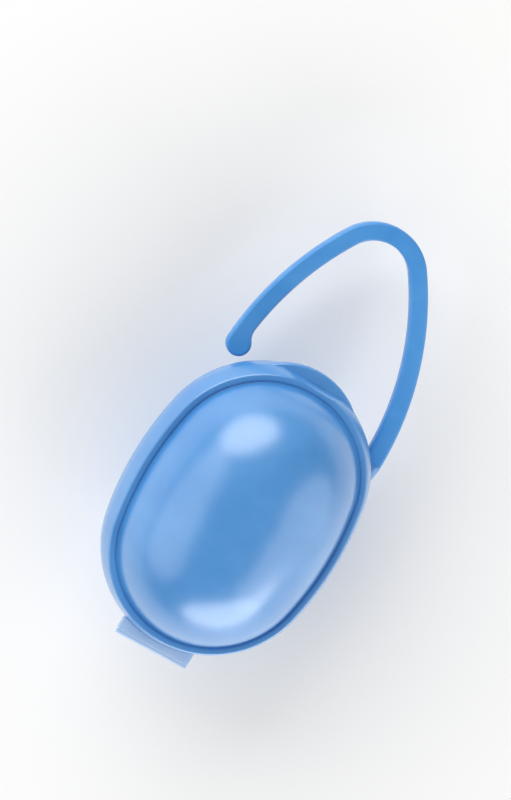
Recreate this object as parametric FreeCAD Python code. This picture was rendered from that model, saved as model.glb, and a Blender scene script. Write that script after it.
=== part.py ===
import FreeCAD, Part
import math
import os
from FreeCAD import Vector

# Pacifier case lying on its back. +Z points out of the front, +Y along the case to the
# hook end, and the origin is the middle of the flat face that it rests on.
# Lengths are in millimetres and angles in degrees.

# Case outline where the two shells meet: an oval of four tangent arcs
case_length = 72.0
case_width = 54.0
side_bow = 1.0             # bulge of the long sides past the two end arcs
wall = 1.6

# Domes: a quarter circle carried round the outline, with a flat at the top
front_inset = 3.2
front_cut = 0.1            # height that the flat takes off the quarter circle
back_inset = 1.9
rest_cut = 1.1             # the same for the flat rest face of the back
back_facet = 9.0           # the back dome is made of flat facets that turn by this angle
hollow_facet = 12.0        # and both hollows of facets that turn by this one

# Collar round the front dome
rim_land = 1.5             # upright band next to the meeting plane
collar_height = 6.4
collar_lean = 1.7
crest_width = 0.9
crest_bevel = 0.3
groove_depth = 0.9         # valley between collar and dome
groove_slope = 0.5
ring_sink = 1.0            # both rims run on this far into the hollow before it is cut

# Flange round the back shell
flange_land = 2.2
flange_slope = 1.7
flange_bevel = 0.5

# Closure: a tongue on the back shell inside a rebate of the front shell
tongue_inset = 1.7
tongue_thickness = 1.1
tongue_height = 1.2
closure_gap = 0.2
bead_size = 0.35           # middle of the ridge to each of its four edges
bead_proud = 0.12
bead_half_angle = 20.0

# Thumb lip at the hook end of the front shell, with a flat cut in the collar above it
lip_reach = 1.4
lip_radius = 17.8
lip_thickness = 2.3
lip_bevel = 0.5
flat_inset = 1.6
flat_draft = 9.0

# Living hinge at the other end: two leaves and a thin web on the fold line
hinge_width = 18.6
leaf_thickness = 1.1
leaf_gap = 0.12            # each leaf to the meeting plane
fold_reach = 2.4           # fold line past the end of the outline
web_radius = 0.5
web_gap = 0.05

# Carrying hook: an arch of tangent arcs over the end of the case, drawn upright and then leaned
hook_rise = 38.2           # top of the arch past the end of the outline
stem_inset = 3.54          # stem's outer edge at its root inside the side of the outline
hook_lean = 2.8            # degrees that the arch turns about the middle of its crown
hook_width = 4.2
hook_thickness = 3.4
hook_bevel = 0.6
hook_gap = 0.3             # hook's front face below the back shell's flange
crown_radius = 10.5
crown_half_angle = 56.0
leg_radius = 73.0
stem_flare = 1.2           # the fixed leg widens towards its root by these radii
root_inset = 12.0          # stem's root inside the end of the outline
tip_inset = 2.0            # middle of the free leg's round tip inside the end of the outline
nub_proud = 1.7            # the tip stands this far inside the leg
nub_blend = 4.0

# Socket boss on the back shell, and the stem's tang in it
tang_width = 2.6
tang_thickness = 2.0
tang_length = 4.5
tang_shift = 0.6           # tang's middle, outside the stem's centre line
tang_gap = 0.05
boss_margin = 0.7
boss_root = 2.0            # boss running into the wall of the shell
boss_length = 12.0
boss_bevel = 1.2

# Derived sizes
half_length = case_length / 2
half_width = case_width / 2
end_radius = half_width - side_bow
meeting = end_radius - back_inset - rest_cut
end_centre = half_length - end_radius
side_radius = (half_length**2 + half_width**2 - 2 * half_length * end_radius) / (2 * side_bow)
side_centre = side_radius - half_width
joint_angle = math.degrees(math.atan2(end_centre, side_centre))
fold_y = -half_length - fold_reach
hook_top = half_length + hook_rise
root_y = half_length - root_inset
tip_y = half_length - tip_inset
hook_front = meeting - flange_land - flange_slope - hook_gap
hook_back = hook_front - hook_thickness
hook_middle = (hook_front + hook_back) / 2
leg_start = 90 - crown_half_angle
stem_radius = leg_radius + hook_width / 2 + stem_flare
stem_shift = crown_radius + hook_width / 2 - stem_radius
crown_y = hook_top - hook_width / 2 - crown_radius
root_sine = (root_y - crown_y - stem_shift * math.sin(math.radians(leg_start))) / stem_radius
root_reach = stem_shift * math.cos(math.radians(leg_start)) + stem_radius * math.cos(math.asin(root_sine))
crown = Vector(half_width - stem_inset - root_reach, crown_y, 0)
up = Vector(0, 0, 1)


def direction(angle):
    return Vector(math.cos(math.radians(angle)), math.sin(math.radians(angle)), 0)


def flat_face(corners):
    return Part.Face(Part.makePolygon(corners + corners[:1]))


def bevelled_face(corners, bevels):
    """Flat face with the given corners, each one cut off at its bevel along both sides."""
    stops = []
    for index, corner in enumerate(corners):
        back = (corners[index - 1] - corner).normalize()
        ahead = (corners[(index + 1) % len(corners)] - corner).normalize()
        if bevels[index]:
            stops += [corner + back * bevels[index], corner + ahead * bevels[index]]
        else:
            stops.append(corner)
    return flat_face(stops)


def flat_arc(centre, radius, start, end):
    """Arc in plan, between two angles about its centre."""
    stops = [centre + direction(angle) * radius for angle in (start, (start + end) / 2, end)]
    return Part.Arc(*stops).toShape()


def oval_arcs():
    """Centre, radius, start and end angle of the outline's four arcs, counter-clockwise."""
    return [
        (Vector(-side_centre, 0, 0), side_radius, -joint_angle, joint_angle),
        (Vector(0, end_centre, 0), end_radius, joint_angle, 180 - joint_angle),
        (Vector(side_centre, 0, 0), side_radius, 180 - joint_angle, 180 + joint_angle),
        (Vector(0, -end_centre, 0), end_radius, 180 + joint_angle, 360 - joint_angle),
    ]


def oval_slab(inset, bottom, top):
    """Upright plate with the outline moved in by the inset."""
    edges = [flat_arc(centre, radius - inset, start, end) for centre, radius, start, end in oval_arcs()]
    face = Part.Face(Part.Wire(edges))
    face.translate(up * bottom)
    return face.extrude(up * (top - bottom))


def oval_ring(corners, bevels):
    """Profile of (inset, height) corners carried once round the outline."""
    pieces = []
    for centre, radius, start, end in oval_arcs():
        outward = direction(start)
        stops = [centre + outward * (radius - inset) + up * height for inset, height in corners]
        pieces.append(bevelled_face(stops, bevels).revolve(centre, up, end - start))
    return pieces[0].fuse(pieces[1:]).removeSplitter()


def front_dome():
    """Solid dome on the meeting plane, round from the outline in to its flat top."""
    radius = end_radius - front_inset
    height = radius - front_cut
    flat = math.sqrt(radius**2 - height**2)
    slope = math.asin(height / radius) / 2
    pieces = [oval_slab(end_radius - flat, meeting, meeting + height)]
    for centre, reach, start, end in oval_arcs():
        outward = direction(start)
        hub = centre + outward * (reach - end_radius) + up * meeting
        foot = hub + outward * flat
        edge = hub + outward * radius
        top = foot + up * height
        middle = hub + (outward * math.cos(slope) + up * math.sin(slope)) * radius
        sides = [Part.Arc(edge, middle, top).toShape(), Part.makeLine(top, foot), Part.makeLine(foot, edge)]
        pieces.append(Part.Face(Part.Wire(sides)).revolve(centre, up, end - start))
    return pieces[0].fuse(pieces[1:]).removeSplitter()


def faceted_dome(inset, cut, side, facet):
    """The same form in flat facets; side is 1 for the front, -1 for the back."""
    radius = end_radius - inset
    last = math.asin(1 - cut / radius)
    count = math.ceil(math.degrees(last) / facet)
    rings = []
    for step in range(count + 1):
        turn = last * step / count
        height = meeting + side * radius * math.sin(turn)
        rings.append(oval_points(inset + radius * (1 - math.cos(turn)), height, facet))
    faces = [flat_face(rings[0]), flat_face(rings[-1])]
    for lower, upper in zip(rings, rings[1:]):
        for index, corner in enumerate(lower):
            faces.append(flat_face([lower[index - 1], corner, upper[index], upper[index - 1]]))
    return Part.Solid(Part.makeShell(faces))


def oval_points(inset, height, facet):
    """Corners of the outline moved in by the inset, in chords of about the facet's angle."""
    stops = []
    for centre, radius, start, end in oval_arcs():
        count = math.ceil((end - start) / facet)
        for step in range(count):
            way = direction(start + (end - start) * step / count)
            stops.append(centre + way * (radius - inset) + up * height)
    return stops


def bead(size):
    """Four-sided ridge along the tongue's outer face at the hook end."""
    middle = end_radius - tongue_inset + bead_proud - bead_size
    centre = Vector(0, end_centre, meeting + tongue_height / 2)
    outward = direction(90 - bead_half_angle)
    edge = centre + outward * middle
    stops = [edge + outward * size, edge + up * size, edge - outward * size, edge - up * size]
    return flat_face(stops).revolve(centre, up, 2 * bead_half_angle)


def leg_centre(offset, radius):
    """Centre of the leg arc that carries on from the crown's edge at the offset."""
    return crown + direction(leg_start) * (crown_radius + offset - radius)


def leg_end(centre, radius, height):
    """Angle about the centre where the leg arc comes down to the height along Y."""
    return math.degrees(math.asin((height - centre.y) / radius))


def hook_solid(edges):
    """Hook piece of the given plan outline, its front and back edges bevelled along the arch."""
    face = Part.Face(Part.Wire(Part.__sortEdges__(edges)))
    face.translate(up * hook_back)
    solid = face.extrude(up * hook_thickness)
    return solid.makeChamfer(hook_bevel, curved_edges(solid))


def leaning(shape):
    """Shape turned with the hook about the middle of its crown."""
    turned = shape.copy()
    turned.rotate(crown, up, hook_lean)
    return turned


def curved_edges(solid):
    """Arcs of the front and back faces."""
    return [edge for edge in solid.Edges if isinstance(edge.Curve, Part.Circle)]


def back_shell():
    below = flange_land + flange_slope
    sunk = back_inset + wall + ring_sink
    corners = [(0, meeting), (0, meeting - flange_land), (flange_slope, meeting - below),
               (sunk, meeting - below), (sunk, meeting)]
    flange = oval_ring(corners, [0, flange_bevel, flange_bevel, 0, 0])
    tongue = oval_slab(tongue_inset, meeting - wall, meeting + tongue_height)
    body = faceted_dome(back_inset, rest_cut, -1, back_facet)
    body = body.fuse([flange, tongue, bead(bead_size), boss()])
    hollow = faceted_dome(back_inset + wall, rest_cut, -1, hollow_facet)
    mouth = oval_slab(tongue_inset + tongue_thickness, meeting - wall, meeting + tongue_height)
    return body.cut([hollow, mouth, tang_block(tang_gap)]).removeSplitter()


def front_shell():
    groove_floor = collar_height - groove_depth
    crest_end = collar_lean + crest_width
    sunk = front_inset + wall + ring_sink
    corners = [(0, 0), (0, rim_land), (collar_lean, collar_height), (crest_end, collar_height),
               (crest_end + groove_slope, groove_floor), (sunk, groove_floor), (sunk, 0)]
    corners = [(inset, meeting + height) for inset, height in corners]
    collar = oval_ring(corners, [0, 0, crest_bevel, crest_bevel, 0, 0, 0])
    collar = collar.cut(thumb_flat())
    body = front_dome().fuse([collar, lip()])
    hollow = faceted_dome(front_inset + wall, front_cut, 1, hollow_facet)
    rebate = oval_slab(tongue_inset - closure_gap, meeting, meeting + tongue_height + closure_gap)
    return body.cut([hollow, rebate, bead(bead_size + closure_gap)]).removeSplitter()


def lip():
    """Half-moon thumb lip, a bevelled disc whose inner part is lost in the collar."""
    centre = Vector(0, half_length + lip_reach - lip_radius, meeting)
    corners = [(0, 0), (lip_radius, 0), (lip_radius, lip_thickness), (0, lip_thickness)]
    stops = [centre + Vector(reach, 0, height) for reach, height in corners]
    return bevelled_face(stops, [0, lip_bevel, lip_bevel, 0]).revolve(centre, up, 360)


def thumb_flat():
    """Block that leaves a leaning flat on the collar above the lip."""
    foot = Vector(-half_width, half_length - flat_inset, meeting + lip_thickness)
    rise = collar_height
    lean = rise * math.tan(math.radians(flat_draft))
    offsets = [(0, 0), (half_length, 0), (half_length, rise), (-lean, rise)]
    stops = [foot + Vector(0, outward, height) for outward, height in offsets]
    return flat_face(stops).extrude(Vector(case_width, 0, 0))


def hinge_leaf(side):
    """Flat leaf from the rim of one shell to the fold line; side is 1 for front, -1 for back."""
    outer = fold_y + web_radius + web_gap
    bottom = meeting + min(side * leaf_gap, side * (leaf_gap + leaf_thickness))
    corner = Vector(-hinge_width / 2, outer, bottom)
    leaf = Part.makeBox(hinge_width, -end_centre - outer, leaf_thickness, corner)
    return leaf.cut(oval_slab(0, bottom - wall, bottom + leaf_thickness + wall))


def hinge_web():
    end = Vector(-hinge_width / 2, fold_y, meeting)
    return Part.makeCylinder(web_radius, hinge_width, end, Vector(1, 0, 0))


def stem_ends():
    """Outer and inner corner of the stem's root."""
    ends = []
    for side in (1, -1):
        offset = side * hook_width / 2
        radius = leg_radius + offset + side * stem_flare
        centre = leg_centre(offset, radius)
        ends.append(centre + direction(leg_end(centre, radius, root_y)) * radius)
    return ends


def tang_block(gap):
    outer, inner = stem_ends()
    size = Vector(tang_width, tang_length, tang_thickness) + Vector(2, 1, 2) * gap
    left = (outer.x + inner.x) / 2 + tang_shift - size.x / 2
    corner = Vector(left, root_y - size.y, hook_middle - size.z / 2)
    return leaning(Part.makeBox(size.x, size.y, size.z, corner))


def boss():
    """Block under the flange that holds the stem's tang."""
    outer, inner = stem_ends()
    left = inner.x - boss_root
    right = outer.x + boss_margin
    low = root_y - boss_length
    corners = [
        Vector(left, root_y, 0),
        Vector(left, low, 0),
        Vector(right, low, 0),
        Vector(right, root_y, 0),
    ]
    face = bevelled_face(corners, [0, 0, boss_bevel, boss_bevel])
    bottom = hook_back - boss_margin
    face.translate(up * bottom)
    block = face.extrude(up * (hook_front + boss_margin - bottom))
    lower = [edge for edge in block.Edges if edge.BoundBox.ZMax < bottom + boss_margin]
    return leaning(block.makeChamfer(boss_margin, lower))


def hook_stem():
    edges = []
    for side in (1, -1):
        offset = side * hook_width / 2
        radius = leg_radius + offset + side * stem_flare
        centre = leg_centre(offset, radius)
        edges.append(flat_arc(crown, crown_radius + offset, 90, leg_start))
        edges.append(flat_arc(centre, radius, leg_start, leg_end(centre, radius, root_y)))
    edges.append(Part.makeLine(*stem_ends()))
    half = Vector(0, hook_width / 2, 0)
    top = crown + Vector(0, crown_radius, 0)
    edges.append(Part.makeLine(top - half, top + half))
    return leaning(hook_solid(edges)).fuse(tang_block(0)).removeSplitter()


def hook_arm():
    """Free leg with a round tip that stands proud inside the arch, drawn at +X and mirrored."""
    half = hook_width / 2
    outer_radius = leg_radius + half
    inner_radius = leg_radius - half
    centre = leg_centre(half, outer_radius)
    last = leg_end(centre, leg_radius, tip_y)
    tip_radius = half + nub_proud / 2
    tip_reach = outer_radius - tip_radius
    tip = centre + direction(last) * tip_reach
    blend_reach = inner_radius - nub_blend
    spread = tip_radius + nub_blend
    share = (tip_reach**2 + blend_reach**2 - spread**2) / (2 * tip_reach * blend_reach)
    meet = last + math.degrees(math.acos(share))
    blend = centre + direction(meet) * blend_reach
    away = blend - tip
    facing = math.degrees(math.atan2(away.y, away.x))
    edges = [
        flat_arc(crown, crown_radius + half, 90, leg_start),
        flat_arc(centre, outer_radius, leg_start, last),
        flat_arc(tip, tip_radius, last, facing - 360),
        flat_arc(blend, nub_blend, facing - 180, meet),
        flat_arc(centre, inner_radius, meet, leg_start),
        flat_arc(crown, crown_radius - half, leg_start, 90),
    ]
    top = crown + Vector(0, crown_radius, 0)
    edges.append(Part.makeLine(top - Vector(0, half, 0), top + Vector(0, half, 0)))
    return leaning(hook_solid(edges).mirror(crown, Vector(1, 0, 0)))


nodes = {
    "back_shell": back_shell(),
    "front_shell": front_shell(),
    "hinge_leaf_back": hinge_leaf(-1),
    "hinge_leaf_front": hinge_leaf(1),
    "hinge_web": hinge_web(),
    "hook_stem": hook_stem(),
    "hook_arm": hook_arm(),
}
os.makedirs("parts", exist_ok=True)
for name, shape in nodes.items():
    shape.exportStep("parts/" + name + ".step")
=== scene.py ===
import math
from collections import namedtuple

import bmesh
import bpy
from bpy.props import FloatProperty, FloatVectorProperty, IntProperty, PointerProperty
from mathutils import Matrix, Vector


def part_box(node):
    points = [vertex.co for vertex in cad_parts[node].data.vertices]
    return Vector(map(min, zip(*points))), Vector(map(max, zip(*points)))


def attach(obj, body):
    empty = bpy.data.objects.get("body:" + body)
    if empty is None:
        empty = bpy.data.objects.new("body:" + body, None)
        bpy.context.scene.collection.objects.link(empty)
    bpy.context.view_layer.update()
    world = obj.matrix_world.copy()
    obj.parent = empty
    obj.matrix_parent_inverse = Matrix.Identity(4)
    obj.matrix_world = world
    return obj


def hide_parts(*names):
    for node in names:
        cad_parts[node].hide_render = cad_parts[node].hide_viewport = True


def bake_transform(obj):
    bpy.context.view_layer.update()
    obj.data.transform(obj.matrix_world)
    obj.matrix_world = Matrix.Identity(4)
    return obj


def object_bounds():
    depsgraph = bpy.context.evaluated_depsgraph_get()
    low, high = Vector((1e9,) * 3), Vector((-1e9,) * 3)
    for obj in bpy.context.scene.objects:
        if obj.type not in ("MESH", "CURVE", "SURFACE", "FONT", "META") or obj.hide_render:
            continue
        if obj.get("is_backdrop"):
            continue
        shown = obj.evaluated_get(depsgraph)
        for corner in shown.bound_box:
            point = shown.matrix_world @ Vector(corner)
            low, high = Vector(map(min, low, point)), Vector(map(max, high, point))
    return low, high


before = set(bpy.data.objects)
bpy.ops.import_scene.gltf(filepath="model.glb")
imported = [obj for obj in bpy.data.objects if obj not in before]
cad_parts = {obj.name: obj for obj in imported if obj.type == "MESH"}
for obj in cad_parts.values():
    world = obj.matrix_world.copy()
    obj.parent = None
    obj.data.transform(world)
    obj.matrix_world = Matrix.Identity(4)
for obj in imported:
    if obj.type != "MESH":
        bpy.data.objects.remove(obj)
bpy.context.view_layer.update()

bl_info = {
    "name": "Pacifier case",
    "version": (1, 0, 0),
    "blender": (4, 5, 0),
    "location": "View3D > Sidebar > Pacifier case",
    "description": "Builds a two-shell pacifier case with a flexible hook on its CAD frame",
    "category": "Object",
}

MM = 0.001
UP = Vector((0, 0, 1))
ALONG = Vector((0, 1, 0))
SAME_PLACE = 0.01 * MM
MERGE_REACH = 0.002 * MM
SHARP_ANGLE = math.radians(60)
IMAGE_SIZE = (511, 800)
front_low, front_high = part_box("front_shell")
meeting = front_low.z
half_length = -front_low.y
half_width = round(front_high.x / MM, 1) * MM
hook_low, hook_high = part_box("hook_stem")

# Each lamp's way from the case, along the picture's right, its top and up from the floor,
# and its size in metres.
Lamp = namedtuple("Lamp", "name right top up width height")
LAMPS = (
    Lamp("key_lamp", right=-0.26, top=1.0, up=0.54, width=0.84, height=0.54),
    Lamp("low_lamp", right=0.10, top=-1.0, up=0.34, width=0.92, height=0.46),
    Lamp("right_lamp", right=1.0, top=-0.60, up=0.62, width=0.96, height=0.76),
    Lamp("left_lamp", right=-1.0, top=0.10, up=0.55, width=0.90, height=0.66),
)


def length(name, description, default):
    """Length property, its default in millimetres."""
    return FloatProperty(name=name, description=description, default=default * MM,
                         unit="LENGTH", precision=5)


def turn(name, description, default):
    """Angle property, its default in degrees."""
    return FloatProperty(name=name, description=description, default=math.radians(default),
                         unit="ROTATION")


def count(name, description, default, least=1):
    """Property that counts something."""
    return IntProperty(name=name, description=description, default=default, min=least)


def wattage(name, description, default):
    """Property for the power of a lamp."""
    return FloatProperty(name=name, description=description, default=default, unit="POWER")


def colour(name, description, default):
    """Colour property."""
    return FloatVectorProperty(name=name, description=description, default=default, size=4,
                               subtype="COLOR", min=0.0, max=1.0)


def number(name, description, default):
    """Property without a unit."""
    return FloatProperty(name=name, description=description, default=default)


class ShellSizes(bpy.types.PropertyGroup):
    """Sizes of the two shells; heights are counted from the plane where they meet."""
    side_bow: length("Side bow", "Bulge of the long sides past the two end arcs", 1.0)
    wall: length("Wall", "Thickness of both shells", 1.6)
    front_inset: length("Front inset", "Front dome inside the outline", 2.85)
    back_inset: length("Back inset", "Back dome inside the outline", 1.9)
    rim_land: length("Rim land", "Upright band of the front shell next to the seam", 1.5)
    collar_height: length("Collar height", "Seam to the crest of the collar", 6.4)
    collar_lean: length("Collar lean", "Crest inside the outline", 1.7)
    crest_width: length("Crest width", "Width of the collar's top", 1.5)
    groove_depth: length("Groove depth", "Crest to the floor of the groove", 0.4)
    groove_slope: length("Groove slope", "Inward run of the groove's outer side", 0.12)
    flange_land: length("Flange land", "Upright band of the back shell next to the seam", 2.2)
    flange_slope: length("Flange slope", "Run and rise of the slope under the flange", 1.7)
    rebate_inset: length("Rebate inset", "Front shell's rebate inside the outline", 1.5)
    rebate_height: length("Rebate height", "Height of the rebate for the tongue", 1.4)
    tongue_inset: length("Tongue inset", "Back shell's tongue inside the outline", 1.7)
    tongue_thickness: length("Tongue thickness", "Thickness of the tongue", 1.1)
    tongue_height: length("Tongue height", "Height of the tongue over the seam", 1.2)
    bead_size: length("Bead size", "Middle of the snap ridge to each of its edges", 0.35)
    bead_proud: length("Bead proud", "Snap ridge past the tongue's outer face", 0.12)
    bead_half_angle: turn("Bead half angle", "Half the snap ridge's sweep round the hook end", 20.0)
    flat_inset: length("Flat inset", "Foot of the thumb flat inside the end of the outline", 1.6)
    flat_draft: turn("Flat draft", "Lean of the thumb flat", 9.0)
    lip_radius: length("Lip radius", "Radius of the half-moon thumb lip", 17.8)
    lip_thickness: length("Lip thickness", "Thickness of the thumb lip", 2.3)
    lip_step: length("Lip step", "Lip's faces off those of the shell around it", 0.06)
    dome_crown: length("Dome crown", "Rise of the front dome's middle over its ends", 0.6)
    crown_depth: length("Crown depth", "Top of the front dome that rises by the whole crown", 1.76)
    crest_round: length("Crest round", "Rounding of the collar's crest", 0.42)
    groove_round: length("Groove round", "Rounding of the groove's floor", 0.1)
    rim_round: length("Rim round", "Rounding between the rim's band and the collar", 1.2)
    floor_round: length("Floor round", "Rounding between the back dome and its flat floor", 0.6)
    small_round: length("Small round", "Rounding of the other moulded edges", 0.22)
    leaf_round: length("Leaf round", "Rounding of the hinge leaves' edges", 0.16)
    end_steps: count("End steps", "Divisions of each end arc", 64, 16)
    side_steps: count("Side steps", "Divisions of half a side arc", 8, 4)
    dome_steps: count("Dome steps", "Divisions of each dome's quarter circle", 32, 8)
    lip_steps: count("Lip steps", "Sides of the disc that makes the thumb lip", 160, 16)
    trim_steps: count("Trim steps", "Sides of the disc that trims the thumb lip", 256, 16)


class HookSizes(bpy.types.PropertyGroup):
    """Sizes of the carrying hook, an arch of tangent arcs."""
    width: length("Width", "Width of the strap", 4.2)
    crown_radius: length("Crown radius", "Radius of the top of the arch", 10.5)
    crown_half_angle: turn("Crown half angle", "Half the angle of the top arc", 56.0)
    leg_radius: length("Leg radius", "Radius of both legs", 73.0)
    stem_flare: length("Stem flare", "Change of radius that widens the fixed leg", 1.2)
    lean: turn("Lean", "Turn of the whole hook about the middle of its crown", 2.8)
    root: length("Root", "Place of the fixed leg's root along the case", 24.0)
    tip: length("Tip", "Place of the free tip's middle along the case", 34.0)
    nub_proud: length("Nub", "Tip standing inside the leg", 1.7)
    nub_blend: length("Nub blend", "Radius between leg and tip", 4.0)
    edge_round: length("Edge round", "Rounding of the strap's edges", 0.7)
    bend_reach: length("Bend reach", "Half the stretch of the crown that bends", 12.0)
    boss_margin: length("Boss margin", "Boss standing past the strap", 0.5)
    boss_depth: length("Boss depth", "Boss running into the wall of the shell", 2.0)
    boss_length: length("Boss length", "Length of the boss along the case", 12.0)
    boss_round: length("Boss round", "Rounding of the boss's edges", 1.9)
    boss_taper: length("Boss taper", "Lean of the boss towards the shell", 2.2)
    root_sink: length("Root sink", "Strap running into the boss", 2.0)
    crown_steps: count("Crown steps", "Divisions of half the top arc", 20, 4)
    leg_steps: count("Leg steps", "Divisions of a whole edge of a leg", 28, 4)
    short_steps: count("Short steps", "Divisions of the free leg's inner edge", 26, 4)
    blend_steps: count("Blend steps", "Divisions of the arc between leg and tip", 8, 2)
    tip_steps: count("Tip steps", "Divisions of the round tip", 24, 4)


class FinishSettings(bpy.types.PropertyGroup):
    """Colours of the plastics."""
    shell_deep: colour("Shell deep", "Deeper tone of the glossy shells", (0.052, 0.255, 0.620, 1))
    shell_pale: colour("Shell pale", "Paler tone of the glossy shells", (0.072, 0.295, 0.670, 1))
    hook_deep: colour("Hook deep", "Deeper tone of the satin hook", (0.052, 0.265, 0.640, 1))
    hook_pale: colour("Hook pale", "Paler tone of the satin hook", (0.080, 0.310, 0.690, 1))
    hinge_deep: colour("Hinge deep", "Deeper tone of the thin hinge", (0.440, 0.650, 0.950, 1))
    hinge_pale: colour("Hinge pale", "Paler tone of the thin hinge", (0.540, 0.730, 0.970, 1))
    floor_deep: colour("Floor deep", "Deeper tone of the floor", (0.89635, 0.893395, 0.8865, 1))
    floor_pale: colour("Floor pale", "Paler tone of the floor", (0.91, 0.907, 0.90, 1))


class StageSettings(bpy.types.PropertyGroup):
    """Camera, lamps and floor."""
    pixel: length("Pixel", "Size of one pixel of the picture on the seam's plane", 0.2275)
    case_column: count("Case column", "Column of the case's middle in the picture", 238)
    case_row: count("Case row", "Row of the case's middle in the picture", 513)
    lean: turn("Lean", "Turn of the case in the picture", 30.0)
    tilt: turn("Tilt", "Camera's lean towards the top of the picture", 12.0)
    side_tilt: turn("Side tilt", "Camera's lean towards the left of the picture", 6.0)
    distance: length("Distance", "Camera to the seam's plane", 480.0)
    floor_size: length("Floor size", "Side of the floor", 2400.0)
    lamp_distance: length("Lamp distance", "Lamps to the case", 700.0)
    key_power: wattage("Key power", "Lamp towards the top of the picture", 4.2)
    low_power: wattage("Low power", "Lamp towards the foot of the picture", 3.6)
    right_power: wattage("Right power", "Lamp towards the right of the picture", 2.2)
    left_power: wattage("Left power", "Lamp towards the left of the picture", 1.76)
    world_strength: number("World strength", "Strength of the even surrounding light", 0.25)


def clear_selection():
    """Object mode with nothing selected."""
    if bpy.context.object and bpy.context.object.mode != "OBJECT":
        bpy.ops.object.mode_set(mode="OBJECT")
    bpy.ops.object.select_all(action="DESELECT")


def start_line(name, place):
    """New piece with one selected point, in edit mode."""
    clear_selection()
    bpy.ops.mesh.primitive_plane_add(size=MM, location=place)
    piece = name_piece(name)
    bpy.ops.object.mode_set(mode="EDIT")
    bpy.ops.mesh.select_mode(type="VERT")
    bpy.ops.mesh.select_all(action="SELECT")
    bpy.ops.mesh.merge(type="CENTER")
    return piece


def name_piece(name):
    """Names the new active object and puts its place into its mesh."""
    piece = bpy.context.object
    piece.name = name
    piece.data.name = name
    bpy.ops.object.transform_apply(location=True, rotation=True, scale=True)
    return piece


def line_by(step):
    """Carries the line on from its selected end."""
    bpy.ops.mesh.extrude_vertices_move(TRANSFORM_OT_translate={"value": step})


def lines_through(places):
    """Straight runs from the first place, where the line ends now, through the others."""
    for start, end in zip(places, places[1:]):
        line_by(end - start)


def turn_about(centre, angle, steps, axis=UP):
    """Carries what is selected round the centre, anticlockwise seen from the axis's tip."""
    bpy.ops.mesh.spin(steps=steps, angle=-angle, center=centre, axis=axis)


def pick(kind, test):
    """Selects the points, edges or faces of the piece in edit mode that pass the test."""
    bpy.ops.mesh.select_mode(type={"verts": "VERT", "edges": "EDGE", "faces": "FACE"}[kind])
    bpy.ops.mesh.select_all(action="DESELECT")
    mesh = bmesh.from_edit_mesh(bpy.context.object.data)
    for item in getattr(mesh, kind):
        item.select_set(test(item))
    mesh.select_flush_mode()
    bmesh.update_edit_mesh(bpy.context.object.data)


def near(place):
    """Test for a point at the place."""
    return lambda point: (point.co - place).length < SAME_PLACE


def round_corner(place, radius, segments=4):
    """Rounds one corner of a line."""
    pick("verts", near(place))
    bpy.ops.mesh.bevel(offset_type="OFFSET", offset=radius, segments=segments, affect="VERTICES")


def close_mesh():
    """Merges seams and points the faces outwards."""
    bpy.ops.mesh.select_mode(type="VERT")
    bpy.ops.mesh.select_all(action="SELECT")
    bpy.ops.mesh.remove_doubles(threshold=MERGE_REACH)
    bpy.ops.mesh.normals_make_consistent(inside=False)


def finish_piece(piece, angle=35.0):
    """Leaves edit mode and shades the piece smooth apart from sharp edges."""
    clear_selection()
    piece.select_set(True)
    bpy.context.view_layer.objects.active = piece
    bpy.ops.object.shade_smooth_by_angle(angle=math.radians(angle))
    return piece


def apply_modifier(piece, kind, **settings):
    """Adds a modifier to the piece and applies it."""
    clear_selection()
    piece.select_set(True)
    bpy.context.view_layer.objects.active = piece
    modifier = piece.modifiers.new(kind.title(), kind)
    for name, value in settings.items():
        setattr(modifier, name, value)
    bpy.ops.object.modifier_apply(modifier=modifier.name)


def delete_piece(piece):
    """Removes a helper that has done its work."""
    clear_selection()
    piece.select_set(True)
    bpy.ops.object.delete()


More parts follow.
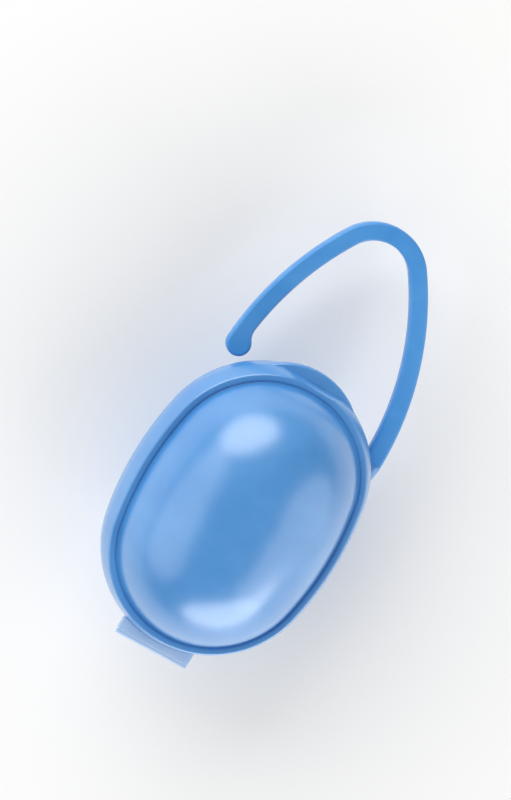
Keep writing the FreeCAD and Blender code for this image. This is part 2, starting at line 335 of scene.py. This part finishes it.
class Outline:
    """The case's outline: an oval of four tangent arcs."""

    def __init__(self, sizes):
        self.bow = sizes.side_bow
        self.end_radius = half_width - sizes.side_bow
        self.end_centre = half_length - self.end_radius
        spare = half_length**2 + half_width**2 - 2 * half_length * self.end_radius
        self.side_radius = spare / (2 * sizes.side_bow)
        self.side_centre = self.side_radius - half_width
        self.joint = math.atan2(self.end_centre, self.side_centre)
        self.hub = Vector((self.bow, 0, meeting))

    def spot(self, inset, height):
        """Point over the middle of the right side."""
        return Vector((half_width - inset, 0, meeting + height))

    def on_dome(self, inset, height):
        """Point of the dome's quarter circle at the height, and its angle at the hub."""
        angle = math.asin(height / (self.end_radius - inset))
        reach = (self.end_radius - inset) * math.cos(angle)
        return self.hub + Vector((reach, 0, height)), angle

    def carry_round(self, sizes):
        """Carries the line in edit mode once round the oval and closes it."""
        bpy.ops.mesh.select_mode(type="VERT")
        bpy.ops.mesh.select_all(action="SELECT")
        side = Vector((-self.side_centre, 0, 0))
        end = Vector((0, self.end_centre, 0))
        sweep = math.pi - 2 * self.joint
        turn_about(side, self.joint, sizes.side_steps)
        turn_about(end, sweep, sizes.end_steps)
        turn_about(-side, 2 * self.joint, 2 * sizes.side_steps)
        turn_about(-end, sweep, sizes.end_steps)
        turn_about(side, self.joint, sizes.side_steps)
        bpy.ops.mesh.select_all(action="SELECT")
        bpy.ops.mesh.remove_doubles(threshold=MERGE_REACH)
        bpy.ops.mesh.fill_holes(sides=0)
        self.split_ovals()
        close_mesh()

    def split_ovals(self):
        """Splits the flat ovals that close the shell into strips across."""
        data = bpy.context.object.data
        mesh = bmesh.from_edit_mesh(data)
        mesh.verts.index_update()
        pairs = []
        for face in mesh.faces:
            if len(face.verts) <= 4:
                continue
            points = sorted(face.verts, key=lambda point: point.co.y)
            pairs += [(one.index, other.index) for one, other in zip(points, points[1:])
                      if other.co.y - one.co.y < MERGE_REACH]
        bpy.ops.mesh.select_mode(type="VERT")
        for ends in pairs:
            bpy.ops.mesh.select_all(action="DESELECT")
            mesh = bmesh.from_edit_mesh(data)
            mesh.verts.ensure_lookup_table()
            for index in ends:
                mesh.verts[index].select_set(True)
            bpy.ops.mesh.vert_connect()


def shade_group():
    """Cloudiness, roughness and fine skin that all the moulded plastics share."""
    group = bpy.data.node_groups.get("Moulded skin")
    if group:
        return group
    group = bpy.data.node_groups.new("Moulded skin", "ShaderNodeTree")
    sockets = group.interface
    sockets.new_socket("Vector", in_out="INPUT", socket_type="NodeSocketVector")
    sockets.new_socket("Deep", in_out="INPUT", socket_type="NodeSocketColor")
    sockets.new_socket("Pale", in_out="INPUT", socket_type="NodeSocketColor")
    sockets.new_socket("Smoothest", in_out="INPUT", socket_type="NodeSocketFloat")
    sockets.new_socket("Roughest", in_out="INPUT", socket_type="NodeSocketFloat")
    sockets.new_socket("Colour", in_out="OUTPUT", socket_type="NodeSocketColor")
    sockets.new_socket("Roughness", in_out="OUTPUT", socket_type="NodeSocketFloat")
    sockets.new_socket("Height", in_out="OUTPUT", socket_type="NodeSocketFloat")
    nodes = group.nodes
    given = nodes.new("NodeGroupInput")
    result = nodes.new("NodeGroupOutput")

    cloud = add_noise(group, given, scale=70, detail=3, roughness=0.55)
    tone = nodes.new("ShaderNodeMapRange")
    tone.inputs["From Min"].default_value = 0.35
    tone.inputs["From Max"].default_value = 0.65
    group.links.new(cloud.outputs["Fac"], tone.inputs["Value"])
    mix = nodes.new("ShaderNodeMix")
    mix.data_type = "RGBA"
    group.links.new(tone.outputs["Result"], mix.inputs["Factor"])
    group.links.new(given.outputs["Deep"], mix.inputs["A"])
    group.links.new(given.outputs["Pale"], mix.inputs["B"])
    group.links.new(mix.outputs["Result"], result.inputs["Colour"])

    scuff = add_noise(group, given, scale=420, detail=4, roughness=0.6)
    gloss = nodes.new("ShaderNodeMapRange")
    gloss.inputs["From Min"].default_value = 0.40
    gloss.inputs["From Max"].default_value = 0.75
    group.links.new(scuff.outputs["Fac"], gloss.inputs["Value"])
    group.links.new(given.outputs["Smoothest"], gloss.inputs["To Min"])
    group.links.new(given.outputs["Roughest"], gloss.inputs["To Max"])
    group.links.new(gloss.outputs["Result"], result.inputs["Roughness"])

    skin = add_noise(group, given, scale=1500, detail=2, roughness=0.5)
    group.links.new(skin.outputs["Fac"], result.inputs["Height"])
    return group


def add_noise(group, given, scale, detail, roughness):
    """Noise texture on the group's own vector."""
    noise = group.nodes.new("ShaderNodeTexNoise")
    noise.inputs["Scale"].default_value = scale
    noise.inputs["Detail"].default_value = detail
    noise.inputs["Roughness"].default_value = roughness
    group.links.new(given.outputs["Vector"], noise.inputs["Vector"])
    return noise


def moulded_plastic(name, deep, pale, smoothest, roughest, coat, skin, shine=0.5, alpha=1.0):
    """Material of one moulded plastic, its skin on the piece's own coordinates."""
    material = bpy.data.materials.get(name)
    if material:
        return material
    material = bpy.data.materials.new(name)
    material.use_nodes = True
    nodes = material.node_tree.nodes
    links = material.node_tree.links
    shader = nodes["Principled BSDF"]
    place = nodes.new("ShaderNodeTexCoord")
    surface = nodes.new("ShaderNodeGroup")
    surface.node_tree = shade_group()
    surface.inputs["Deep"].default_value = deep
    surface.inputs["Pale"].default_value = pale
    surface.inputs["Smoothest"].default_value = smoothest
    surface.inputs["Roughest"].default_value = roughest
    bump = nodes.new("ShaderNodeBump")
    bump.inputs["Strength"].default_value = skin
    bump.inputs["Distance"].default_value = 0.02 * MM
    links.new(place.outputs["Object"], surface.inputs["Vector"])
    links.new(surface.outputs["Colour"], shader.inputs["Base Color"])
    links.new(surface.outputs["Roughness"], shader.inputs["Roughness"])
    links.new(surface.outputs["Height"], bump.inputs["Height"])
    links.new(bump.outputs["Normal"], shader.inputs["Normal"])
    shader.inputs["IOR"].default_value = 1.49
    shader.inputs["Coat Weight"].default_value = coat
    shader.inputs["Specular IOR Level"].default_value = shine
    shader.inputs["Coat Roughness"].default_value = 0.26
    shader.inputs["Alpha"].default_value = alpha
    return material


def shell_plastic(finish):
    """Glossy plastic of both shells."""
    return moulded_plastic("Glossy shell plastic", finish.shell_deep, finish.shell_pale,
                           smoothest=0.28, roughest=0.36, coat=1.0, skin=0.06, shine=0.9)


def hook_plastic(finish):
    """Satin plastic of the hook."""
    return moulded_plastic("Satin hook plastic", finish.hook_deep, finish.hook_pale,
                           smoothest=0.34, roughest=0.44, coat=0.10, skin=0.18)


def hinge_plastic(finish):
    """Thin plastic of the hinge, which lets some light through."""
    return moulded_plastic("Thin hinge plastic", finish.hinge_deep, finish.hinge_pale,
                           smoothest=0.26, roughest=0.36, coat=0.15, skin=0.12, alpha=0.65)


def dress(piece, material, body):
    """Gives a finished piece its material and the body that it rides on."""
    piece.data.materials.clear()
    piece.data.materials.append(material)
    if body:
        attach(piece, body)


class CASE_OT_front_shell(bpy.types.Operator):
    """Domed front shell with collar, groove, thumb flat and thumb lip"""
    bl_idname = "case.front_shell"
    bl_label = "Front shell"

    def execute(self, context):
        sizes = context.scene.case_shells
        oval = Outline(sizes)
        shell = self.make_shell(sizes, oval)
        lip = self.make_lip(sizes, oval)
        material = shell_plastic(context.scene.case_finish)
        for piece in (shell, lip):
            dress(piece, material, "lid")
        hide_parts("front_shell")
        return {"FINISHED"}

    def make_shell(self, sizes, oval):
        """Section from the dome's top, over collar and rim, to the inside, carried round."""
        outer = sizes.front_inset
        inner = outer + sizes.wall
        groove = sizes.collar_height - sizes.groove_depth
        crest = sizes.collar_lean + sizes.crest_width
        top = oval.hub + UP * (oval.end_radius - outer)
        edge, edge_angle = oval.on_dome(outer, groove)
        ledge, ledge_angle = oval.on_dome(inner, sizes.rebate_height)
        corners = [
            edge,
            oval.spot(crest + sizes.groove_slope, groove),
            oval.spot(crest, sizes.collar_height),
            oval.spot(sizes.collar_lean, sizes.collar_height),
            oval.spot(0, sizes.rim_land),
            oval.spot(0, 0),
            oval.spot(sizes.rebate_inset, 0),
            oval.spot(sizes.rebate_inset, sizes.rebate_height),
            ledge,
        ]
        rounds = [sizes.groove_round, sizes.groove_round, sizes.crest_round, sizes.crest_round,
                  sizes.rim_round, sizes.small_round, sizes.small_round, 0, sizes.small_round]
        shell = start_line("front_cover", top)
        turn_about(oval.hub, math.pi / 2 - edge_angle, sizes.dome_steps, ALONG)
        lines_through(corners)
        turn_about(oval.hub, ledge_angle - math.pi / 2, sizes.dome_steps, ALONG)
        for corner, radius in zip(corners, rounds):
            if radius:
                round_corner(corner, radius)
        oval.carry_round(sizes)
        self.crown(sizes, oval)
        bpy.ops.object.mode_set(mode="OBJECT")
        self.cut_thumb_flat(shell, sizes)
        return finish_piece(shell)

    def crown(self, sizes, oval):
        """Raises the middle of the dome so that its top isn't flat along the case."""
        cap = meeting + oval.end_radius - sizes.front_inset - sizes.crown_depth
        pick("verts", lambda point: point.co.z > cap and abs(point.co.y) < SAME_PLACE)
        bpy.ops.transform.translate(value=UP * sizes.dome_crown, use_proportional_edit=True,
                                    proportional_edit_falloff="SMOOTH",
                                    proportional_size=half_width)

    def cut_thumb_flat(self, shell, sizes):
        """Takes the collar off above the lip, along a leaning plane."""
        side = 2 * sizes.collar_height
        foot = half_length - sizes.flat_inset
        bottom = meeting + sizes.lip_thickness - sizes.lip_step
        clear_selection()
        middle = Vector((0, foot + side / 2, bottom + side / 2))
        bpy.ops.mesh.primitive_cube_add(size=side, location=middle)
        block = name_piece("flat_cutter")
        bpy.ops.object.mode_set(mode="EDIT")
        bpy.ops.mesh.select_all(action="SELECT")
        bpy.ops.transform.resize(value=(half_width / sizes.collar_height, 1, 1))
        pick("verts", lambda point: point.co.z > middle.z)
        bpy.ops.transform.translate(value=(0, -side * math.tan(sizes.flat_draft), 0))
        bpy.ops.object.mode_set(mode="OBJECT")
        apply_modifier(shell, "BOOLEAN", operation="DIFFERENCE", object=block, solver="EXACT")
        delete_piece(block)

    def make_lip(self, sizes, oval):
        """Half-moon ledge, a rounded disc less what lies inside the collar."""
        height = sizes.lip_thickness
        clear_selection()
        centre = front_high.y - sizes.lip_radius
        bpy.ops.mesh.primitive_cylinder_add(
            vertices=sizes.lip_steps, radius=sizes.lip_radius, depth=height - sizes.lip_step,
            location=(0, centre, meeting + (height + sizes.lip_step) / 2))
        lip = name_piece("thumb_lip")
        bpy.ops.object.mode_set(mode="EDIT")
        pick("edges", lambda edge: edge.calc_face_angle(0) > SHARP_ANGLE)
        bpy.ops.mesh.bevel(offset=3 * sizes.small_round, segments=5, affect="EDGES")
        bpy.ops.object.mode_set(mode="OBJECT")
        clear_selection()
        inside = oval.end_radius - sizes.rebate_inset + sizes.lip_step
        bpy.ops.mesh.primitive_cylinder_add(
            vertices=sizes.trim_steps, radius=inside, depth=4 * height,
            location=(0, oval.end_centre, meeting))
        collar = name_piece("lip_cutter")
        apply_modifier(lip, "BOOLEAN", operation="DIFFERENCE", object=collar, solver="EXACT")
        delete_piece(collar)
        return finish_piece(lip)


class CASE_OT_back_shell(bpy.types.Operator):
    """Back shell with flange, tongue, rest face and the boss that holds the hook"""
    bl_idname = "case.back_shell"
    bl_label = "Back shell"

    def execute(self, context):
        sizes = context.scene.case_shells
        oval = Outline(sizes)
        shell = self.make_shell(sizes, oval)
        boss = self.make_boss(context.scene.case_hook, sizes, oval)
        bead = self.make_bead(sizes, oval)
        material = shell_plastic(context.scene.case_finish)
        for piece in (shell, boss, bead):
            dress(piece, material, "base")
        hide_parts("back_shell")
        return {"FINISHED"}

    def make_shell(self, sizes, oval):
        """Section from the rest face, over flange and tongue, to the floor, carried round."""
        outer = sizes.back_inset
        inner = outer + sizes.wall
        below = sizes.flange_land + sizes.flange_slope
        rest, rest_angle = oval.on_dome(outer, -meeting)
        edge, edge_angle = oval.on_dome(outer, -below)
        ledge, ledge_angle = oval.on_dome(inner, -sizes.wall)
        floor, floor_angle = oval.on_dome(inner, sizes.wall - meeting)
        mouth = sizes.tongue_inset + sizes.tongue_thickness
        corners = [
            edge,
            oval.spot(sizes.flange_slope, -below),
            oval.spot(0, -sizes.flange_land),
            oval.spot(0, 0),
            oval.spot(sizes.tongue_inset, 0),
            oval.spot(sizes.tongue_inset, sizes.tongue_height),
            oval.spot(mouth, sizes.tongue_height),
            oval.spot(mouth, -sizes.wall),
            ledge,
        ]
        small = sizes.small_round
        rounds = [small, 2 * small, 3 * small, small, 0, small, small, 0, small]
        inward = Vector((-2 * sizes.floor_round, 0, 0))
        shell = start_line("back_cup", rest + inward)
        line_by(-inward)
        turn_about(oval.hub, rest_angle - edge_angle, sizes.dome_steps, ALONG)
        lines_through(corners)
        turn_about(oval.hub, ledge_angle - floor_angle, sizes.dome_steps, ALONG)
        line_by(inward)
        round_corner(rest, sizes.floor_round)
        round_corner(floor, sizes.floor_round)
        for corner, radius in zip(corners, rounds):
            if radius:
                round_corner(corner, radius)
        oval.carry_round(sizes)
        return finish_piece(shell)

    def make_bead(self, sizes, oval):
        """Four-sided snap ridge along the outer face of the tongue at the hook end."""
        centre = Vector((0, oval.end_centre, meeting + sizes.tongue_height / 2))
        start = math.pi / 2 - sizes.bead_half_angle
        outward = Vector((math.cos(start), math.sin(start), 0))
        face = oval.end_radius - sizes.tongue_inset
        middle = centre + outward * (face + sizes.bead_proud - sizes.bead_size)
        ways = (outward, UP, -outward, -UP, outward)
        corners = [middle + way * sizes.bead_size for way in ways]
        bead = start_line("snap_bead", corners[0])
        lines_through(corners)
        bpy.ops.mesh.select_all(action="SELECT")
        bpy.ops.mesh.remove_doubles(threshold=MERGE_REACH)
        round_corner(corners[0], sizes.bead_proud / 2)
        bpy.ops.mesh.select_all(action="SELECT")
        turn_about(centre, 2 * sizes.bead_half_angle, sizes.end_steps)
        bpy.ops.mesh.select_all(action="SELECT")
        bpy.ops.mesh.fill_holes(sides=0)
        close_mesh()
        return finish_piece(bead)

    def make_boss(self, hook, sizes, oval):
        """Rounded block under the flange, cut to the wall of the back shell."""
        plan = HookPlan(hook)
        outer, inner = plan.stem_ends()
        foot = hook.root - hook.boss_length
        low = Vector((inner.x - hook.boss_depth, foot, hook_low.z - hook.boss_margin))
        high = Vector((outer.x + hook.boss_margin, hook.root, hook_high.z + hook.boss_margin))
        middle = (low + high) / 2
        clear_selection()
        bpy.ops.mesh.primitive_cube_add(size=1, location=middle, scale=high - low)
        boss = name_piece("hook_boss")
        bpy.ops.object.mode_set(mode="EDIT")
        pick("verts", lambda point: point.co.x > inner.x and point.co.y < middle.y)
        bpy.ops.transform.translate(value=(-hook.boss_taper, 0, 0))
        pick("edges", lambda edge: max(end.co.x for end in edge.verts) > inner.x)
        bpy.ops.mesh.bevel(offset=hook.boss_round, segments=6, affect="EDGES")
        plan.lean()
        wall = oval.end_radius - sizes.back_inset - sizes.wall / 2
        cutter = start_line("boss_cutter", oval.hub - UP * wall)
        turn_about(oval.hub, -math.pi / 2, sizes.dome_steps, ALONG)
        oval.carry_round(sizes)
        bpy.ops.object.mode_set(mode="OBJECT")
        apply_modifier(boss, "BOOLEAN", operation="DIFFERENCE", object=cutter, solver="EXACT")
        delete_piece(cutter)
        return finish_piece(boss)


class HookPlan:
    """Arcs of the hook's outline, seen from the front."""

    def __init__(self, sizes):
        self.sizes = sizes
        self.half = sizes.width / 2
        self.crown = Vector((0, hook_high.y - self.half - sizes.crown_radius, hook_low.z))
        self.leg_start = math.pi / 2 - sizes.crown_half_angle

    def lean(self):
        """Turns the piece in edit mode with the hook."""
        bpy.ops.mesh.select_all(action="SELECT")
        bpy.ops.transform.rotate(value=-self.sizes.lean, orient_axis="Z",
                                 center_override=self.crown)

    def way(self, angle):
        """Direction at the angle, counted from the right."""
        return Vector((math.cos(angle), math.sin(angle), 0))

    def leg_centre(self, offset, radius):
        """Centre of the right leg's arc that carries on from the crown at the offset."""
        return self.crown + self.way(self.leg_start) * (self.sizes.crown_radius + offset - radius)

    def stem_arc(self, side):
        """Centre, radius and last angle of the fixed leg's outer (1) or inner (-1) edge."""
        offset = side * self.half
        radius = self.sizes.leg_radius + offset + side * self.sizes.stem_flare
        centre = self.leg_centre(offset, radius)
        end = self.sizes.root - self.sizes.root_sink
        return centre, radius, math.asin((end - centre.y) / radius)

    def stem_ends(self):
        """Outer and inner corner of the root."""
        ends = []
        for side in (1, -1):
            centre, radius, last = self.stem_arc(side)
            ends.append(centre + self.way(last) * radius)
        return ends


class CASE_OT_hook(bpy.types.Operator):
    """Flexible carrying hook, one strap from its root to its free tip"""
    bl_idname = "case.hook"
    bl_label = "Carrying hook"

    def execute(self, context):
        sizes = context.scene.case_hook
        plan = HookPlan(sizes)
        hook = self.draw_outline(plan)
        self.thicken(sizes)
        plan.lean()
        finish_piece(hook)
        dress(hook, hook_plastic(context.scene.case_finish), None)
        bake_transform(hook)
        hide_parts("hook_stem", "hook_arm")
        return {"FINISHED"}

    def draw_outline(self, plan):
        """Outline in one go: down the stem, back up inside, down the free leg, round the tip."""
        sizes = plan.sizes
        half = plan.half
        turn_crown = sizes.crown_half_angle
        hook = start_line("carry_hook", plan.crown + Vector((0, sizes.crown_radius + half, 0)))
        turn_about(plan.crown, -turn_crown, sizes.crown_steps)
        centre, _, last = plan.stem_arc(1)
        turn_about(centre, last - plan.leg_start, sizes.leg_steps)
        outer, inner = plan.stem_ends()
        line_by(inner - outer)
        centre, _, last = plan.stem_arc(-1)
        turn_about(centre, plan.leg_start - last, sizes.leg_steps)
        turn_about(plan.crown, 2 * turn_crown, 2 * sizes.crown_steps)

        outer_radius = sizes.leg_radius + half
        inner_radius = sizes.leg_radius - half
        centre = plan.leg_centre(half, outer_radius)
        last = math.asin((sizes.tip - centre.y) / sizes.leg_radius)
        tip_radius = half + sizes.nub_proud / 2
        tip_reach = outer_radius - tip_radius
        blend_reach = inner_radius - sizes.nub_blend
        spread = tip_radius + sizes.nub_blend
        share = (tip_reach**2 + blend_reach**2 - spread**2) / (2 * tip_reach * blend_reach)
        meet = last + math.acos(share)
        tip = centre + plan.way(last) * tip_reach
        blend = centre + plan.way(meet) * blend_reach
        away = blend - tip
        facing = math.atan2(away.y, away.x)
        mirrored = Matrix.Scale(-1, 3, Vector((1, 0, 0)))
        turn_about(mirrored @ centre, plan.leg_start - meet, sizes.short_steps)
        turn_about(mirrored @ blend, meet - facing + math.pi, sizes.blend_steps)
        turn_about(mirrored @ tip, facing - last - 2 * math.pi, sizes.tip_steps)
        turn_about(mirrored @ centre, last - plan.leg_start, sizes.leg_steps)
        turn_about(plan.crown, -turn_crown, sizes.crown_steps)
        return hook

    def is_rim(self, edge):
        """Test for an edge between a broad face of the strap and its side."""
        level = abs(edge.verts[0].co.z - edge.verts[1].co.z) < SAME_PLACE
        return level and edge.calc_face_angle(0) > SHARP_ANGLE

    def thicken(self, sizes):
        """Fills the outline, gives it the strap's thickness and rounds its edges."""
        bpy.ops.mesh.select_all(action="SELECT")
        bpy.ops.mesh.remove_doubles(threshold=MERGE_REACH)
        bpy.ops.mesh.select_all(action="SELECT")
        bpy.ops.mesh.edge_face_add()
        thickness = hook_high.z - hook_low.z
        bpy.ops.mesh.extrude_region_move(TRANSFORM_OT_translate={"value": UP * thickness})
        close_mesh()
        pick("edges", self.is_rim)
        bpy.ops.mesh.bevel(offset=sizes.edge_round, segments=5, affect="EDGES")
        pick("faces", lambda face: len(face.verts) > sizes.crown_steps)
        bpy.ops.mesh.inset(thickness=sizes.edge_round / 4)


class CASE_OT_hinge(bpy.types.Operator):
    """Two leaves of the living hinge and the bead on its fold line"""
    bl_idname = "case.hinge"
    bl_label = "Living hinge"

    def execute(self, context):
        material = hinge_plastic(context.scene.case_finish)
        for node, body, name in (("hinge_leaf_front", "lid", "hinge_tab_front"),
                                 ("hinge_leaf_back", "base", "hinge_tab_back")):
            tab = self.soften(node, name, context.scene.case_shells.leaf_round)
            dress(tab, material, body)
            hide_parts(node)
        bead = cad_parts["hinge_web"]
        bead.data.materials.clear()
        bead.data.materials.append(material)
        return {"FINISHED"}

    def soften(self, node, name, radius):
        """Copy of a leaf with its faces joined and its edges rounded."""
        clear_selection()
        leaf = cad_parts[node]
        leaf.select_set(True)
        bpy.context.view_layer.objects.active = leaf
        bpy.ops.object.duplicate()
        tab = bpy.context.object
        tab.parent = None
        for key in list(tab.keys()):
            del tab[key]
        name_piece(name)
        bpy.ops.object.mode_set(mode="EDIT")
        close_mesh()
        bpy.ops.mesh.dissolve_limited(angle_limit=math.radians(1))
        pick("edges", lambda edge: edge.calc_face_angle(0) > SHARP_ANGLE)
        bpy.ops.mesh.bevel(offset=radius, segments=3, affect="EDGES")
        return finish_piece(tab)


class CASE_OT_stage(bpy.types.Operator):
    """Floor, lamps, even light and the camera"""
    bl_idname = "case.stage"
    bl_label = "Stage"

    def execute(self, context):
        stage = context.scene.case_stage
        right = Vector((math.cos(stage.lean), math.sin(stage.lean), 0))
        upward = Vector((-math.sin(stage.lean), math.cos(stage.lean), 0))
        self.make_floor(stage, context.scene.case_finish)
        middle = Vector((0, 0, meeting))
        powers = (stage.key_power, stage.low_power, stage.right_power, stage.left_power)
        for lamp, power in zip(LAMPS, powers):
            way = right * lamp.right + upward * lamp.top + UP * lamp.up
            self.make_lamp(lamp, middle, way.normalized() * stage.lamp_distance, power)
        self.make_world(stage)
        self.make_camera(stage, middle, right, upward)
        context.scene.view_settings.view_transform = "Standard"
        return {"FINISHED"}

    def make_floor(self, stage, finish):
        """Plain pale floor under the lowest point of the part."""
        clear_selection()
        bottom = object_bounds()[0][2]
        bpy.ops.mesh.primitive_plane_add(size=stage.floor_size, location=(0, 0, bottom))
        floor = name_piece("floor")
        material = bpy.data.materials.new("Pale floor")
        material.use_nodes = True
        nodes = material.node_tree.nodes
        links = material.node_tree.links
        shader = nodes["Principled BSDF"]
        shader.inputs["Roughness"].default_value = 0.8
        place = nodes.new("ShaderNodeTexCoord")
        grain = nodes.new("ShaderNodeTexNoise")
        grain.inputs["Scale"].default_value = 12
        tone = nodes.new("ShaderNodeMix")
        tone.data_type = "RGBA"
        tone.inputs["A"].default_value = finish.floor_deep
        tone.inputs["B"].default_value = finish.floor_pale
        links.new(place.outputs["Object"], grain.inputs["Vector"])
        links.new(grain.outputs["Fac"], tone.inputs["Factor"])
        links.new(tone.outputs["Result"], shader.inputs["Base Color"])
        floor.data.materials.append(material)
        floor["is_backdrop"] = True

    def make_lamp(self, lamp, middle, offset, power):
        """Soft oval lamp at the offset from the case's middle, facing it."""
        clear_selection()
        bpy.ops.object.light_add(type="AREA", location=middle + offset)
        light = bpy.context.object
        light.name = lamp.name
        light.rotation_euler = (-offset).to_track_quat("-Z", "Y").to_euler()
        light.data.shape = "ELLIPSE"
        light.data.size = lamp.width
        light.data.size_y = lamp.height
        light.data.energy = power

    def make_world(self, stage):
        """Even white light from all around."""
        world = bpy.context.scene.world or bpy.data.worlds.new("World")
        bpy.context.scene.world = world
        world.use_nodes = True
        background = world.node_tree.nodes["Background"]
        background.inputs["Color"].default_value = (1.0, 1.0, 1.0, 1)
        background.inputs["Strength"].default_value = stage.world_strength

    def make_camera(self, stage, middle, right, upward):
        """Camera that puts the case where the picture has it."""
        clear_selection()
        across = IMAGE_SIZE[0] / 2 - stage.case_column
        above = stage.case_row - IMAGE_SIZE[1] / 2
        target = middle + (right * across + upward * above) * stage.pixel
        leaning = upward * math.tan(stage.tilt) - right * math.tan(stage.side_tilt)
        back = (UP + leaning).normalized()
        level = (right - back * right.dot(back)).normalized()
        bpy.ops.object.camera_add(location=target + back * stage.distance)
        camera = bpy.context.object
        camera.name = "photo_camera"
        camera.rotation_euler = Matrix((level, back.cross(level), back)).transposed().to_euler()
        camera.data.sensor_fit = "VERTICAL"
        picture_height = IMAGE_SIZE[1] * stage.pixel
        camera.data.lens = camera.data.sensor_height * stage.distance / picture_height
        camera.data.clip_start = 10 * MM
        bpy.context.scene.camera = camera


class CASE_PT_panel(bpy.types.Panel):
    """Pieces of the case, in the order in which they are built"""
    bl_label = "Pacifier case"
    bl_idname = "CASE_PT_panel"
    bl_space_type = "VIEW_3D"
    bl_region_type = "UI"
    bl_category = "Pacifier case"

    def draw(self, context):
        for operator in operators:
            self.layout.operator(operator.bl_idname)
        for name in settings:
            box = self.layout.box()
            group = getattr(context.scene, name)
            for prop in group.bl_rna.properties:
                if not prop.is_readonly and prop.identifier != "name":
                    box.prop(group, prop.identifier)


settings = {
    "case_shells": ShellSizes,
    "case_hook": HookSizes,
    "case_finish": FinishSettings,
    "case_stage": StageSettings,
}
operators = (CASE_OT_front_shell, CASE_OT_back_shell, CASE_OT_hook, CASE_OT_hinge, CASE_OT_stage)


def register():
    """Registers the classes and puts their settings on the scene."""
    for group in (*settings.values(), *operators, CASE_PT_panel):
        bpy.utils.register_class(group)
    for name, group in settings.items():
        setattr(bpy.types.Scene, name, PointerProperty(type=group))


def unregister():
    """Takes the settings and the classes away again."""
    for name in settings:
        delattr(bpy.types.Scene, name)
    for group in (CASE_PT_panel, *reversed(operators), *reversed(settings.values())):
        bpy.utils.unregister_class(group)


def main():
    """Builds the pieces and the stage."""
    register()
    bpy.ops.case.front_shell()
    bpy.ops.case.back_shell()
    bpy.ops.case.hook()
    bpy.ops.case.hinge()
    bpy.ops.case.stage()


if __name__ == "__main__":
    main()
